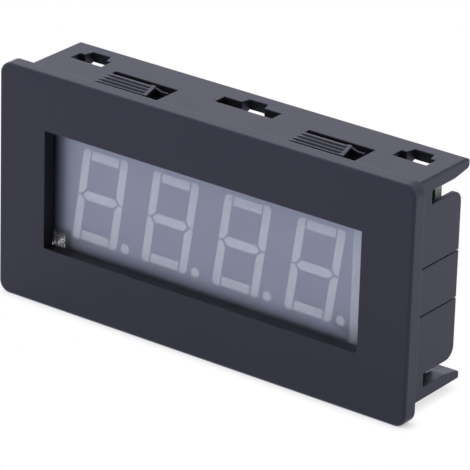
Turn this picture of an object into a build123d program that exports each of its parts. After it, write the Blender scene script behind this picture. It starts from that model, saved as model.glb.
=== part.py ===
"""Digital panel meter: a snap-in case with a smoked window, a digit display and an open-backed board.

Frame, in millimetres: X runs to the right seen from the front, Y from the front to the back, Z up.
The origin is the centre of the panel cut-out, on the plane where the bezel's rear face seats on the panel.
"""
import math
import os

from build123d import *

# Bezel, its flange over the panel and its borders round the window
BEZEL_WIDTH = 72.0
BEZEL_HEIGHT = 36.0
BEZEL_THICKNESS = 2.5
BEZEL_CORNER_RADIUS = 1.8
BEZEL_EDGE_RADIUS = 0.45
FLANGE_SIDE = 2.0
FLANGE_TOP = 1.2
FRONT_PLATE = 2.0
SIDE_BORDER = 8.35
TOP_BORDER = 8.65
BOTTOM_BORDER = 9.05

# Walls of the body behind the panel
BODY_EDGE_BEVEL = 0.25
ROOF_WALL = 2.0
SIDE_WALL = 1.8
SIDE_CORNER_RADIUS = 1.8
NOTCH_START = 4.7
NOTCH_HEIGHT = 2.1
SLIT_START = 2.5
SLIT_WIDTH = 0.22
SLIT_SPACING = 7.2
FINGER_BEVEL = 1.15
ROOF_OVERHANG = 1.65
ROOF_TAPER_LENGTH = 3.5
ROOF_TAPER = 0.6
ROOF_TIP_RADIUS = 0.55
RELIEF_GAP = 0.3
RELIEF_RUN = 0.85
RELIEF_DEPTH = 0.5
RELIEF_RISE = 0.2

# Snap arms in the roof and the floor
CLIP_SIDE = 11.35
CLIP_START = 2.35
ARM_LENGTH = 9.2
ARM_SKEW = 1.15
ARM_WIDTH = 3.85
ARM_FRONT_GAP = 0.2
ARM_REAR_GAP = 1.0
ARM_THICKNESS = 1.3
ARM_RAMP = 0.6
ARM_RISE = 0.12
ARM_ROOT = 0.5
ARM_LAND = 0.8
TOOTH_COUNT = 4
TOOTH_PITCH = 1.04
TOOTH_DEPTH = 0.2
LIP_THICKNESS = 0.35
LIP_BEND = 1.9
LIP_DROP = 0.5
LIP_LEVEL = 1.2
LIP_GAP = 0.9

# T-shaped slots along the rear of the roof and the floor
SLOT_SETBACK = 2.4
SLOT_LENGTH = 2.35
STEM_LENGTH = 1.5
STEM_WIDE = 4.0
STEM_NARROW = 3.2
MIDDLE_SLOT_WIDTH = 10.0
END_SLOT_WIDTH = 5.7
END_SLOT_SIDE = 2.95

# Window film and the rib that keeps it in place
FILM_THICKNESS = 1.0
FILM_LAP = 1.4
FILM_CLEARANCE = 0.1
FILM_RIB_WALL = 0.8
FILM_RIB_HEIGHT = 0.8

# Digit display
DIGIT_COUNT = 4
DIGIT_PITCH = 12.6
DIGIT_OFFSET = 0.09
DIGIT_DROP = 0.1
DIGIT_HEIGHT = 14.4
DIGIT_WIDTH = 8.05
DIGIT_SLANT = 7.8
SEGMENT_UPRIGHT = 1.32
SEGMENT_BAR = 1.45
SEGMENT_GAP = 0.25
SEGMENT_CORNER = 0.45
SEGMENT_DEPTH = 2.0
BAR_INSET = 0.1
POINT_DIAMETER = 1.5
POINT_OFFSET = 4.62
POINT_DROP = 6.45
DISPLAY_OFFSET = -0.95
DISPLAY_HEIGHT = 19.0
DISPLAY_DEPTH = 8.0
DISPLAY_SIDE_GAP = 0.1
FACE_THICKNESS = 0.2

# Pins of the display and their solder
PIN_ROW_COUNT = 6
PIN_PITCH = 2.54
PIN_ROW_SPACING = 15.24
PIN_SIZE = 0.5
PIN_TAIL = 1.9
HOLE_CLEARANCE = 0.1
HOLE_SIDES = 8
SOLDER_LAP = 0.35
SOLDER_COLLAR = 0.15
SOLDER_HEIGHT = 0.9

# Circuit board, its stops and its hooks
BOARD_THICKNESS = 1.6
BOARD_CLEARANCE = 0.2
HOOK_CLEARANCE = 0.05
HOOK_LENGTH = 1.3
HOOK_REACH = 0.7
HOOK_INSET = 1.1
HOOK_LAND = 0.55
STOP_THICKNESS = 1.2
STOP_HEIGHT = 1.6

# Bent leads of the chips and transistors
LEAD_PITCH = 1.27
LEAD_WIDTH = 0.41
LEAD_THICKNESS = 0.25
LEAD_SHOULDER = 0.35
LEAD_SLOPE = 0.25
LEAD_FOOT = 0.8
CHIP_LIFT = 0.12
CHIP_BEVEL = 0.35

# Chips: size, and the room to the nearest side and to the top of the board
CONTROLLER_LENGTH = 12.8
CONTROLLER_WIDTH = 7.5
CONTROLLER_HEIGHT = 2.3
CONTROLLER_LEAD_COUNT = 10
CONTROLLER_SIDE = 4.0
CONTROLLER_DROP = 3.4
DRIVER_LENGTH = 9.9
DRIVER_WIDTH = 3.9
DRIVER_HEIGHT = 1.5
DRIVER_LEAD_COUNT = 8
DRIVER_SIDE = 8.0
DRIVER_DROP = 5.8

# Digit transistors
TRANSISTOR_COUNT = 4
TRANSISTOR_PITCH = 4.0
TRANSISTOR_LENGTH = 2.9
TRANSISTOR_WIDTH = 1.3
TRANSISTOR_HEIGHT = 1.0
TRANSISTOR_LEAD_SPREAD = 1.9
TRANSISTOR_SIDE = 9.0
TRANSISTOR_DROP = 0.9

# Voltage regulator
REGULATOR_LENGTH = 4.5
REGULATOR_WIDTH = 2.5
REGULATOR_HEIGHT = 1.5
REGULATOR_LEAD_PITCH = 1.5
REGULATOR_LEAD_LENGTH = 0.9
REGULATOR_LEAD_WIDTH = 0.45
REGULATOR_LEAD_THICKNESS = 0.4
REGULATOR_TAB_WIDTH = 1.7
REGULATOR_SIDE = 3.0
REGULATOR_RISE = 3.0

# Rows of two-ended chips
CHIP_END_LENGTH = 0.4
RESISTOR_COUNT = 8
RESISTOR_PITCH = 2.1
RESISTOR_LENGTH = 2.0
RESISTOR_WIDTH = 1.25
RESISTOR_HEIGHT = 0.55
RESISTOR_SIDE = 4.0
RESISTOR_DROP = 0.7
CAPACITOR_COUNT = 4
CAPACITOR_PITCH = 4.2
CAPACITOR_LENGTH = 2.0
CAPACITOR_WIDTH = 1.25
CAPACITOR_HEIGHT = 0.95
CAPACITOR_SIDE = 8.0
CAPACITOR_GAP = 1.5

# Tantalum capacitor
TANTALUM_LENGTH = 6.0
TANTALUM_WIDTH = 3.2
TANTALUM_HEIGHT = 2.5
TANTALUM_BEVEL = 0.12
TANTALUM_END_LENGTH = 0.5
TANTALUM_END_WIDTH = 2.2
TANTALUM_END_HEIGHT = 1.0
TANTALUM_SIDE = 10.5
TANTALUM_RISE = 3.0

# Calibration trimmer
TRIMMER_SIZE = 4.5
TRIMMER_HEIGHT = 2.5
TRIMMER_CORNER = 0.5
TRIMMER_SIDE = 2.7
TRIMMER_DROP = 2.0
TRIMMER_END_WIDTH = 1.0
TRIMMER_END_LENGTH = 0.6
TRIMMER_END_HEIGHT = 0.9
TRIMMER_END_SPREAD = 2.4
ROTOR_DIAMETER = 3.0
ROTOR_HEIGHT = 1.3
ROTOR_CLEARANCE = 0.05
ROTOR_SLOT_WIDTH = 0.55
ROTOR_SLOT_LENGTH = 2.2
ROTOR_SLOT_DEPTH = 0.7

# Input header for the supply and signal leads
HEADER_PIN_COUNT = 4
HEADER_PITCH = 2.5
HEADER_END = 2.4
HEADER_WIDTH = 5.6
HEADER_HEIGHT = 6.8
HEADER_WALL = 0.8
HEADER_FLOOR = 2.2
HEADER_KEY_WIDTH = 1.2
HEADER_KEY_INSET = 1.6
HEADER_PIN_SIZE = 0.64
HEADER_PIN_HEIGHT = 5.6
HEADER_FOOT_THICKNESS = 0.3
HEADER_FOOT_LENGTH = 1.0
HEADER_SIDE = 5.0
HEADER_RISE = 0.6

# How far a cutting solid stands out of what it cuts
CUT_MARGIN = 1.0

# Window and body, from the bezel
WINDOW_WIDTH = BEZEL_WIDTH - 2 * SIDE_BORDER
WINDOW_HEIGHT = BEZEL_HEIGHT - TOP_BORDER - BOTTOM_BORDER
WINDOW_RISE = (BOTTOM_BORDER - TOP_BORDER) / 2
BODY_X = BEZEL_WIDTH / 2 - FLANGE_SIDE
BODY_Z = BEZEL_HEIGHT / 2 - FLANGE_TOP
INNER_X = BODY_X - SIDE_WALL
INNER_Z = BODY_Z - ROOF_WALL
SIDE_Z = INNER_Z - NOTCH_HEIGHT
BOARD_X = INNER_X - BOARD_CLEARANCE
BOARD_Z = INNER_Z - BOARD_CLEARANCE
DISPLAY_WIDTH = DIGIT_COUNT * DIGIT_PITCH - DISPLAY_SIDE_GAP

# Planes from the front to the back
FRONT_Y = -BEZEL_THICKNESS
FILM_Y = FRONT_Y + FRONT_PLATE
DISPLAY_Y = FILM_Y + FILM_THICKNESS
SHELL_Y = DISPLAY_Y + FACE_THICKNESS
BOARD_Y = DISPLAY_Y + DISPLAY_DEPTH
BOARD_BACK = BOARD_Y + BOARD_THICKNESS
HOOK_Y = BOARD_BACK + HOOK_CLEARANCE
SIDE_BACK = HOOK_Y + HOOK_LENGTH + HOOK_LAND
ROOF_BACK = SIDE_BACK + ROOF_OVERHANG

# Openings in the roof
LIP_START = ARM_LENGTH - ARM_SKEW - ARM_LAND
LIP_END = LIP_START + LIP_BEND + LIP_LEVEL
CLIP_WIDTH = LIP_END + LIP_GAP
CLIP_END = CLIP_START + ARM_FRONT_GAP + ARM_WIDTH + ARM_REAR_GAP
CLIP_X = BODY_X - CLIP_SIDE - CLIP_WIDTH / 2
STEM_END = ROOF_BACK - SLOT_SETBACK
STEM_START = STEM_END - STEM_LENGTH
SLOT_START = STEM_START - SLOT_LENGTH
END_SLOT_X = BODY_X - END_SLOT_SIDE - END_SLOT_WIDTH / 2

# Middles of the parts on the back of the board, from its edges
LEAD_REACH = LEAD_SHOULDER + LEAD_SLOPE + LEAD_FOOT
CONTROLLER_X = -BOARD_X + CONTROLLER_SIDE + CONTROLLER_LENGTH / 2
CONTROLLER_Z = BOARD_Z - CONTROLLER_DROP - LEAD_REACH - CONTROLLER_WIDTH / 2
DRIVER_X = BOARD_X - DRIVER_SIDE - DRIVER_LENGTH / 2
DRIVER_Z = BOARD_Z - DRIVER_DROP - LEAD_REACH - DRIVER_WIDTH / 2
TRANSISTOR_X = BOARD_X - TRANSISTOR_SIDE - TRANSISTOR_LENGTH / 2 - (TRANSISTOR_COUNT - 1) * TRANSISTOR_PITCH
TRANSISTOR_Z = BOARD_Z - TRANSISTOR_DROP - LEAD_REACH - TRANSISTOR_WIDTH / 2
REGULATOR_X = BOARD_X - REGULATOR_SIDE - REGULATOR_LENGTH / 2
REGULATOR_Z = -BOARD_Z + REGULATOR_RISE + REGULATOR_LEAD_LENGTH + REGULATOR_WIDTH / 2
RESISTOR_X = -BOARD_X + RESISTOR_SIDE + RESISTOR_WIDTH / 2
RESISTOR_Z = BOARD_Z - RESISTOR_DROP - RESISTOR_LENGTH / 2
CAPACITOR_X = BOARD_X - CAPACITOR_SIDE - CAPACITOR_WIDTH / 2 - (CAPACITOR_COUNT - 1) * CAPACITOR_PITCH
DRIVER_LOW = DRIVER_Z - DRIVER_WIDTH / 2 - LEAD_REACH
CAPACITOR_Z = DRIVER_LOW - CAPACITOR_GAP - CAPACITOR_LENGTH / 2
TANTALUM_X = BOARD_X - TANTALUM_SIDE - TANTALUM_END_LENGTH - TANTALUM_LENGTH / 2
TANTALUM_Z = -BOARD_Z + TANTALUM_RISE + TANTALUM_WIDTH / 2
TRIMMER_X = BOARD_X - TRIMMER_SIDE - TRIMMER_SIZE / 2
TRIMMER_Z = BOARD_Z - TRIMMER_DROP - TRIMMER_END_LENGTH - TRIMMER_SIZE / 2
HEADER_LENGTH = HEADER_PITCH * (HEADER_PIN_COUNT - 1) + 2 * HEADER_END
HEADER_X = -BOARD_X + HEADER_SIDE + HEADER_LENGTH / 2
HEADER_Z = -BOARD_Z + HEADER_RISE + HEADER_WIDTH / 2
HEADER_Y = BOARD_BACK + HEADER_FOOT_THICKNESS


def slab(profile, y_start, y_end):
    """Carry an XZ profile straight back from y_start to y_end."""
    plane = Plane(origin=(0, y_start, 0), x_dir=(1, 0, 0), z_dir=(0, -1, 0))
    return extrude(plane * profile, amount=y_end - y_start, dir=(0, 1, 0))


def bar(profile, x_start, x_end):
    """Carry a YZ profile sideways from x_start to x_end."""
    plane = Plane(origin=(x_start, 0, 0), x_dir=(0, 1, 0), z_dir=(1, 0, 0))
    return extrude(plane * profile, amount=x_end - x_start, dir=(1, 0, 0))


def post(profile, z_start, z_end):
    """Carry an XY profile upwards from z_start to z_end."""
    return extrude(Pos(0, 0, z_start) * profile, amount=z_end - z_start, dir=(0, 0, 1))


def outline(points):
    """Flat face inside a closed run of straight sides."""
    return Polygon(*points, align=None)


def block(x_span, y_span, z_span):
    """Box between two limits on each axis."""
    size = [high - low for low, high in (x_span, y_span, z_span)]
    corner = (x_span[0], y_span[0], z_span[0])
    return Pos(*corner) * Box(*size, align=(Align.MIN, Align.MIN, Align.MIN))


def pad(x, z, length, width, y_start, height):
    """Box on the back of the board, centred at x and z, from y_start up to its height."""
    return slab(Pos(x, z) * Rectangle(length, width), y_start, y_start + height)


def either_side(spread):
    """The two places half a spread either side of the middle."""
    return (-spread / 2, spread / 2)


def row(count, pitch, start):
    """Evenly pitched places from a start value."""
    return [start + pitch * i for i in range(count)]


def centred_row(count, pitch):
    """Evenly pitched places about zero."""
    return row(count, pitch, -pitch * (count - 1) / 2)


def group(solids):
    """Separate solids kept together as one piece of the model."""
    return Compound(children=[solid for item in solids for solid in item.solids()])


# Case


def bezel():
    """Flange plate with rounded corners and a softened front edge."""
    plate = slab(RectangleRounded(BEZEL_WIDTH, BEZEL_HEIGHT, BEZEL_CORNER_RADIUS), FRONT_Y, 0)
    front = plate.faces().sort_by(Axis.Y)[0]
    return fillet(front.edges(), BEZEL_EDGE_RADIUS)


def collar():
    """Ring of wall behind the panel, as far back as the corner notches, before it is hollowed."""
    outer = Rectangle(2 * BODY_X, 2 * BODY_Z)
    return slab(chamfer(outer.vertices(), BODY_EDGE_BEVEL), FRONT_Y / 2, NOTCH_START)


def roof_relief():
    """Wedge that thins the roof from inside, behind the board and between its two ends."""
    start = BOARD_BACK + RELIEF_GAP
    section = outline(
        [
            (start, INNER_Z - CUT_MARGIN),
            (start, INNER_Z),
            (start + RELIEF_RUN, INNER_Z + RELIEF_DEPTH),
            (ROOF_BACK, INNER_Z + RELIEF_DEPTH + RELIEF_RISE),
            (ROOF_BACK + CUT_MARGIN, INNER_Z - CUT_MARGIN),
        ]
    )
    return bar(section, -INNER_X, INNER_X)


def edge_bevel():
    """Three-sided bar that takes off the upper right edge of the roof."""
    corner = [
        (BODY_X - BODY_EDGE_BEVEL, BODY_Z),
        (BODY_X, BODY_Z - BODY_EDGE_BEVEL),
        (BODY_X + BODY_EDGE_BEVEL, BODY_Z + BODY_EDGE_BEVEL),
    ]
    return slab(outline(corner), 0, ROOF_BACK + CUT_MARGIN)


def roof():
    """Upper wall: flat outside, tapered inside towards a rounded rear tip."""
    section = outline(
        [
            (0, BODY_Z),
            (ROOF_BACK, BODY_Z),
            (ROOF_BACK, INNER_Z + ROOF_TAPER),
            (ROOF_BACK - ROOF_TAPER_LENGTH, INNER_Z),
            (0, INNER_Z),
        ]
    )
    tip = section.vertices().sort_by(Axis.X)[-2:]
    wall = bar(fillet(tip, ROOF_TIP_RADIUS), -BODY_X, BODY_X) - roof_relief()
    return wall - [edge_bevel(), mirror(edge_bevel(), about=Plane.YZ)]


def side_wall():
    """Right side wall with rounded rear corners, thinned from inside at its upper and lower edges."""
    sheet = Pos(SIDE_BACK / 2, 0) * Rectangle(SIDE_BACK, 2 * SIDE_Z)
    sheet = fillet(sheet.vertices().sort_by(Axis.X)[-2:], SIDE_CORNER_RADIUS)
    wedge = outline([(INNER_X, SIDE_Z - FINGER_BEVEL), (INNER_X + FINGER_BEVEL, SIDE_Z), (INNER_X, SIDE_Z)])
    bevel = slab(wedge, NOTCH_START, SIDE_BACK + CUT_MARGIN)
    return bar(sheet, INNER_X, BODY_X) - [bevel, mirror(bevel, about=Plane.XY)]


def finger_slits():
    """Two slits right across the body that cut each side wall into three springy fingers."""
    across = (-BODY_X - CUT_MARGIN, BODY_X + CUT_MARGIN)
    depth = (SLIT_START, SIDE_BACK + CUT_MARGIN)
    return [
        block(across, depth, (z - SLIT_WIDTH / 2, z + SLIT_WIDTH / 2))
        for z in either_side(SLIT_SPACING)
    ]


def clip_opening(x):
    """Rectangular hole in the roof around one snap arm."""
    across = (x - CLIP_WIDTH / 2, x + CLIP_WIDTH / 2)
    return block(across, (CLIP_START, CLIP_END), (INNER_Z - CUT_MARGIN, BODY_Z + CUT_MARGIN))


def arm_lip():
    """Thin upright lip at the back of a snap arm, which bends down past the end of the teeth."""
    bend_end = LIP_START + LIP_BEND
    shape = outline(
        [
            (LIP_START, ARM_RISE),
            (bend_end, ARM_RISE - LIP_DROP),
            (LIP_END, ARM_RISE - LIP_DROP),
            (LIP_END, -ARM_THICKNESS),
            (LIP_START, -ARM_THICKNESS),
        ]
    )
    return slab(shape, ARM_WIDTH - LIP_THICKNESS, ARM_WIDTH)


def snap_arm(x):
    """Springy arm with a saw-toothed back, rooted at the left of its opening and cut off askew at its end.

    The steep side of each tooth faces the bezel, so the arm rides over a panel edge and grips behind it.
    """
    side = outline(
        [
            (-ARM_ROOT, 0),
            (0, 0),
            (ARM_RAMP, ARM_RISE),
            (ARM_LENGTH, ARM_RISE),
            (ARM_LENGTH, -ARM_THICKNESS),
            (-ARM_ROOT, -ARM_THICKNESS),
        ]
    )
    end = outline([(ARM_LENGTH, 0), (ARM_LENGTH, ARM_WIDTH), (ARM_LENGTH - ARM_SKEW, ARM_WIDTH)])
    arm = slab(side, 0, ARM_WIDTH) - post(end, -ARM_THICKNESS - CUT_MARGIN, ARM_RISE + CUT_MARGIN)
    for y in row(TOOTH_COUNT, TOOTH_PITCH, 0):
        back = y + TOOTH_PITCH
        tooth_gap = outline([(y, ARM_RISE), (back, ARM_RISE), (back, ARM_RISE - TOOTH_DEPTH)])
        arm -= bar(tooth_gap, 0, ARM_LENGTH - ARM_LAND - ARM_SKEW * y / ARM_WIDTH)
    place = Pos(x - CLIP_WIDTH / 2, CLIP_START + ARM_FRONT_GAP, BODY_Z)
    return place * (arm + arm_lip())


def tee_slot(x, width):
    """Slot through the roof with a tapered stem towards the rear edge."""
    shape = outline(
        [
            (x - width / 2, SLOT_START),
            (x + width / 2, SLOT_START),
            (x + width / 2, STEM_START),
            (x + STEM_WIDE / 2, STEM_START),
            (x + STEM_NARROW / 2, STEM_END),
            (x - STEM_NARROW / 2, STEM_END),
            (x - STEM_WIDE / 2, STEM_START),
            (x - width / 2, STEM_START),
        ]
    )
    return post(shape, INNER_Z - CUT_MARGIN, BODY_Z + CUT_MARGIN)


def board_stop(x):
    """Rib under the roof whose rear end stops the front of the board."""
    across = (x - STOP_THICKNESS / 2, x + STOP_THICKNESS / 2)
    return block(across, (FILM_Y, BOARD_Y), (INNER_Z - STOP_HEIGHT, INNER_Z))


def board_hook():
    """Wedge inside the right middle finger that snaps behind the edge of the board."""
    shape = outline(
        [
            (INNER_X, HOOK_Y),
            (INNER_X - HOOK_REACH, HOOK_Y),
            (INNER_X, HOOK_Y + HOOK_LENGTH),
        ]
    )
    half_width = SLIT_SPACING / 2 - HOOK_INSET
    return post(shape, -half_width, half_width)


def film_rib():
    """Low rib on the back of the front plate, all round the window film."""
    width = WINDOW_WIDTH + 2 * (FILM_LAP + FILM_CLEARANCE)
    height = WINDOW_HEIGHT + 2 * (FILM_LAP + FILM_CLEARANCE)
    ring = Rectangle(width + 2 * FILM_RIB_WALL, height + 2 * FILM_RIB_WALL) - Rectangle(width, height)
    return slab(Pos(0, WINDOW_RISE) * ring, FILM_Y, FILM_Y + FILM_RIB_HEIGHT)


def roof_holes():
    """Openings in the roof: round the snap arms, and the middle and end slots."""
    holes = [clip_opening(x) for x in (-CLIP_X, CLIP_X)]
    holes += [tee_slot(0, MIDDLE_SLOT_WIDTH)]
    return holes + [tee_slot(x, END_SLOT_WIDTH) for x in (-END_SLOT_X, END_SLOT_X)]


def case():
    """The one-piece moulding: bezel, walls, snap arms, slots, board stops and hooks."""
    shell = bezel() + collar()
    shell -= slab(Rectangle(2 * INNER_X, 2 * INNER_Z), FILM_Y, NOTCH_START + CUT_MARGIN)
    window = Pos(0, WINDOW_RISE) * Rectangle(WINDOW_WIDTH, WINDOW_HEIGHT)
    shell -= slab(window, FRONT_Y - CUT_MARGIN, FILM_Y)
    shell += [side_wall(), mirror(side_wall(), about=Plane.YZ)]
    shell -= finger_slits()
    shell += film_rib()
    shell += [board_hook(), mirror(board_hook(), about=Plane.YZ)]
    stop_x = (CLIP_X + CLIP_WIDTH / 2 + END_SLOT_X - END_SLOT_WIDTH / 2) / 2
    wall = roof() + [board_stop(-stop_x), board_stop(stop_x)]
    holes = roof_holes()
    arms = [snap_arm(x) for x in (-CLIP_X, CLIP_X)]
    shell = shell + wall - holes + arms
    floor = [mirror(solid, about=Plane.XY) for solid in [wall] + holes + arms]
    return shell + floor[0] - floor[1 : len(holes) + 1] + floor[len(holes) + 1 :]


def window_film():
    """Smoked satin sheet behind the window."""
    sheet = Rectangle(WINDOW_WIDTH + 2 * FILM_LAP, WINDOW_HEIGHT + 2 * FILM_LAP)
    return slab(Pos(0, WINDOW_RISE) * sheet, FILM_Y, DISPLAY_Y)


# Digit display


def slanted(points):
    """Lean a digit's points to the right with height."""
    lean = math.tan(math.radians(DIGIT_SLANT))
    return [(x + z * lean, z) for x, z in points]


def upright_points():
    """Upper right bar of a digit: outer corner cut off, lower end pointed to clear the middle bar."""
    outer = DIGIT_WIDTH / 2
    inner = outer - SEGMENT_UPRIGHT
    top = DIGIT_HEIGHT / 2
    low = SEGMENT_GAP / 2
    return [
        (inner, top),
        (outer - SEGMENT_CORNER, top),
        (outer, top - SEGMENT_CORNER),
        (outer, low),
        (outer - SEGMENT_UPRIGHT / 2, low),
        (inner, low + (SEGMENT_BAR + SEGMENT_GAP) / 2),
    ]


def end_bar_points():
    """Top bar of a digit, between the two uprights."""
    half = DIGIT_WIDTH / 2 - SEGMENT_UPRIGHT - SEGMENT_GAP
    top = DIGIT_HEIGHT / 2 - BAR_INSET
    return [(-half, top), (half, top), (half, top - SEGMENT_BAR), (-half, top - SEGMENT_BAR)]


def middle_bar_points():
    """Middle bar of a digit, pointed at both ends."""
    half = SEGMENT_BAR / 2
    tip = DIGIT_WIDTH / 2 - SEGMENT_UPRIGHT / 2 - SEGMENT_GAP
    neck = tip - half
    return [(-tip, 0), (-neck, half), (neck, half), (tip, 0), (neck, -half), (-neck, -half)]


def digit_outlines():
    """Faces of the bars of one digit, about the digit's middle."""
    runs = [middle_bar_points()]
    for z_sign in (1, -1):
        runs.append([(x, z * z_sign) for x, z in end_bar_points()])
        runs += [[(x * x_sign, z * z_sign) for x, z in upright_points()] for x_sign in (1, -1)]
    return [outline(slanted(points)) for points in runs]


def digit_places():
    """Middles of the digits along the display."""
    return [DISPLAY_OFFSET + DIGIT_OFFSET + x for x in centred_row(DIGIT_COUNT, DIGIT_PITCH)]


def segment_outlines():
    """Faces of all the bars of the display."""
    return [Pos(x, -DIGIT_DROP) * face for x in digit_places() for face in digit_outlines()]


def point_outlines():
    """Faces of the decimal points."""
    point = Circle(POINT_DIAMETER / 2)
    return [Pos(x + POINT_OFFSET, -DIGIT_DROP - POINT_DROP) * point for x in digit_places()]


def light_wells(outlines):
    """Solids that fill the bars or points from the display's face down into its shell."""
    return [slab(face, DISPLAY_Y, DISPLAY_Y + SEGMENT_DEPTH) for face in outlines]


def display_layer(y_start, y_end, wells):
    """Layer of the display between two planes, open at each bar and point."""
    front = Pos(DISPLAY_OFFSET, 0) * Rectangle(DISPLAY_WIDTH, DISPLAY_HEIGHT)
    return slab(front, y_start, y_end) - wells


def pin_places():
    """Places of the display's pins in two rows."""
    along = [DISPLAY_OFFSET + x for x in centred_row(PIN_ROW_COUNT, PIN_PITCH)]
    return [(x, z) for z in either_side(PIN_ROW_SPACING) for x in along]


def display_pins():
    """Square pins from the back of the display through the board."""
    profile = Rectangle(PIN_SIZE, PIN_SIZE)
    return [slab(Pos(x, z) * profile, BOARD_Y, BOARD_BACK + PIN_TAIL) for x, z in pin_places()]


# Board and its parts


def pin_reach():
    """Distance from the middle of a display pin to its corner."""
    return PIN_SIZE / math.sqrt(2)


def hole_radius():
    """Radius of a drilled hole that clears the corners of a display pin."""
    return pin_reach() + HOLE_CLEARANCE


def circuit_board():
    """Board that fills the case, drilled for the display's pins."""
    drilled = RegularPolygon(hole_radius(), HOLE_SIDES)
    sheet = Rectangle(2 * BOARD_X, 2 * BOARD_Z) - [Pos(x, z) * drilled for x, z in pin_places()]
    return slab(sheet, BOARD_Y, BOARD_BACK)


def solder_fillet(x, z):
    """Small cone of solder round a display pin, behind the board."""
    foot = hole_radius() + SOLDER_LAP
    narrowing = (foot - pin_reach() - SOLDER_COLLAR) * math.cos(math.pi / HOLE_SIDES)
    lean = math.degrees(math.atan(narrowing / SOLDER_HEIGHT))
    cone = extrude(RegularPolygon(foot, HOLE_SIDES), amount=SOLDER_HEIGHT, taper=lean)
    cone -= Box(PIN_SIZE, PIN_SIZE, 2 * SOLDER_HEIGHT + CUT_MARGIN)
    return Pos(x, BOARD_BACK, z) * Rot(-90, 0, 0) * cone


def gull_wing(x, body_edge, height):
    """Bent lead from the upper side of a package down to the board, at the given place along it."""
    shoulder = BOARD_BACK + CHIP_LIFT + height / 2
    knee = body_edge + LEAD_SHOULDER
    heel = knee + LEAD_SLOPE
    half = LEAD_THICKNESS / 2
    shape = outline(
        [
            (shoulder + half, body_edge),
            (shoulder + half, knee + half),
            (BOARD_BACK + LEAD_THICKNESS, heel + half),
            (BOARD_BACK + LEAD_THICKNESS, heel + LEAD_FOOT),
            (BOARD_BACK, heel + LEAD_FOOT),
            (BOARD_BACK, heel - half),
            (shoulder - half, knee - half),
            (shoulder - half, body_edge),
        ]
    )
    return bar(shape, x - LEAD_WIDTH / 2, x + LEAD_WIDTH / 2)


def chip_body(x, z, length, width, height):
    """Moulded chip body with a bevel along the side of its first lead."""
    body = pad(x, z, length, width, BOARD_BACK + CHIP_LIFT, height)
    first_side = body.faces().sort_by(Axis.Y)[-1].edges().sort_by(Axis.Z)[0]
    return chamfer(first_side, CHIP_BEVEL)


def chip_leads(x, z, width, height, count):
    """Two rows of bent leads, along the upper and lower sides of a chip."""
    upper = [gull_wing(place, width / 2, height) for place in centred_row(count, LEAD_PITCH)]
    lower = [mirror(lead, about=Plane.XY) for lead in upper]
    return [Pos(x, 0, z) * lead for lead in upper + lower]


def transistor_places():
    """Places of the digit transistors along their row."""
    return row(TRANSISTOR_COUNT, TRANSISTOR_PITCH, TRANSISTOR_X)


def digit_transistors():
    """Row of small three-lead packages that switch the digits."""
    size = (TRANSISTOR_LENGTH, TRANSISTOR_WIDTH)
    lift = BOARD_BACK + CHIP_LIFT
    return [pad(x, TRANSISTOR_Z, *size, lift, TRANSISTOR_HEIGHT) for x in transistor_places()]


def transistor_leads():
    """Two leads below and one above each digit transistor."""
    single = gull_wing(0, TRANSISTOR_WIDTH / 2, TRANSISTOR_HEIGHT)
    pair = [Pos(x, 0, 0) * mirror(single, about=Plane.XY) for x in either_side(TRANSISTOR_LEAD_SPREAD)]
    return [Pos(x, 0, TRANSISTOR_Z) * lead for x in transistor_places() for lead in [single] + pair]


def voltage_regulator():
    """Flat power package, lying on its leads."""
    lift = BOARD_BACK + REGULATOR_LEAD_THICKNESS
    return pad(REGULATOR_X, REGULATOR_Z, REGULATOR_LENGTH, REGULATOR_WIDTH, lift, REGULATOR_HEIGHT)


def regulator_leads():
    """Two short outer leads and a middle one that runs under the body to a wide tab."""
    edge = REGULATOR_WIDTH / 2
    end = edge + REGULATOR_LEAD_LENGTH
    depth = (BOARD_BACK, BOARD_BACK + REGULATOR_LEAD_THICKNESS)
    half = REGULATOR_LEAD_WIDTH / 2
    leads = [
        block((x - half, x + half), depth, (-end, 0))
        for x in centred_row(3, REGULATOR_LEAD_PITCH)
    ]
    leads[1] += block(either_side(REGULATOR_TAB_WIDTH), depth, (-edge / 2, end))
    return [Pos(REGULATOR_X, 0, REGULATOR_Z) * lead for lead in leads]


def two_ended_bodies(places, z, length, width, height):
    """Ceramic middles of a row of chips that stand upright in the row."""
    middle = length - 2 * CHIP_END_LENGTH
    return [pad(x, z, width, middle, BOARD_BACK, height) for x in places]


def two_ended_caps(places, z, length, width, height):
    """Tinned caps at the upper and lower end of each chip of a row."""
    ends = [z + end for end in either_side(length - CHIP_END_LENGTH)]
    return [pad(x, end, width, CHIP_END_LENGTH, BOARD_BACK, height) for x in places for end in ends]


def tantalum_capacitor():
    """Moulded tantalum block with a bevel round its back."""
    body = pad(TANTALUM_X, TANTALUM_Z, TANTALUM_LENGTH, TANTALUM_WIDTH, BOARD_BACK, TANTALUM_HEIGHT)
    return chamfer(body.faces().sort_by(Axis.Y)[-1].edges(), TANTALUM_BEVEL)


def tantalum_ends():
    """Folded terminals at both ends of the tantalum block."""
    size = (TANTALUM_END_LENGTH, TANTALUM_END_WIDTH)
    return [
        pad(TANTALUM_X + x, TANTALUM_Z, *size, BOARD_BACK, TANTALUM_END_HEIGHT)
        for x in either_side(TANTALUM_LENGTH + TANTALUM_END_LENGTH)
    ]


def trimmer_body():
    """Square trimmer housing with a round well for its rotor."""
    square = Rectangle(TRIMMER_SIZE, TRIMMER_SIZE)
    square = chamfer(square.vertices(), TRIMMER_CORNER)
    well = Circle(ROTOR_DIAMETER / 2 + ROTOR_CLEARANCE)
    back = BOARD_BACK + TRIMMER_HEIGHT
    housing = slab(square, BOARD_BACK, back) - slab(well, back - ROTOR_HEIGHT, back)
    return Pos(TRIMMER_X, 0, TRIMMER_Z) * housing


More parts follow.
